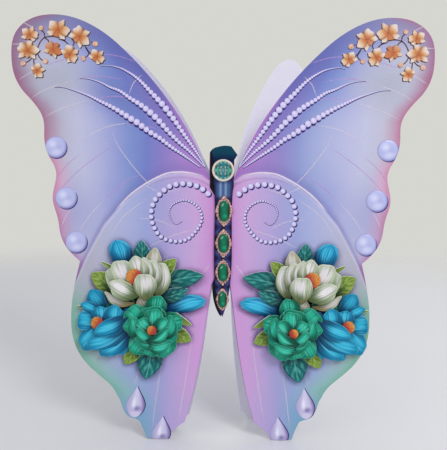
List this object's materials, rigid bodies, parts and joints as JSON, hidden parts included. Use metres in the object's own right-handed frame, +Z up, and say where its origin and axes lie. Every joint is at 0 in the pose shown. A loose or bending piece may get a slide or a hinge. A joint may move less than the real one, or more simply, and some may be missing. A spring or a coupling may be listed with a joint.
{
  "type": "layered paper butterfly card",
  "caption": "Stand-up butterfly of printed card with raised lower wing layers, layered paper flowers, a raised body strip and a plain folded rear sheet that props it up.",
  "frame": {"origin": "centre of the footprint box, at table level", "axes": "+X to the viewer's right along the wing span, +Y away from the viewer through the thickness, +Z up"},
  "size_m": [0.2, 0.0914, 0.1992],
  "materials": {
    "printed_card": "lavender, blue and pink print, satin",
    "lavender_card": "plain pale lavender, matt",
    "clear_tape": "double-sided tape",
    "navy_printed_card": "navy print with green stones and rose-gold settings, satin",
    "foam_pad": "white foam with adhesive faces",
    "leaf_print": "teal, blue and yellow-green print",
    "cream_petal_print": "cream and sage print, satin",
    "blue_petal_print": "turquoise blue print, satin",
    "green_petal_print": "emerald green print, satin"
  },
  "bodies": {
    "root": {"front_sheet": "printed_card", "rear_sheet": "lavender_card", "spine_tape": "clear_tape", "body_layer": "navy_printed_card", "body_pads": "foam_pad", "wing_layer_left": "printed_card", "wing_layer_right": "printed_card", "wing_layer_pads_left": "foam_pad", "wing_layer_pads_right": "foam_pad", "spray_base_left": "leaf_print", "spray_base_right": "leaf_print", "spray_pads_left": "foam_pad", "spray_pads_right": "foam_pad", "magnolia_back_left": "cream_petal_print", "magnolia_back_right": "cream_petal_print", "magnolia_front_left": "cream_petal_print", "magnolia_front_right": "cream_petal_print", "blue_flower_back_left": "blue_petal_print", "blue_flower_back_right": "blue_petal_print", "blue_flower_front_left": "blue_petal_print", "blue_flower_front_right": "blue_petal_print", "green_flower_back_left": "green_petal_print", "green_flower_back_right": "green_petal_print", "green_flower_middle_left": "green_petal_print", "green_flower_middle_right": "green_petal_print", "green_flower_heart_left": "green_petal_print", "green_flower_heart_right": "green_petal_print", "flower_pads_left": "foam_pad", "flower_pads_right": "foam_pad"}
  },
  "joints": []
}
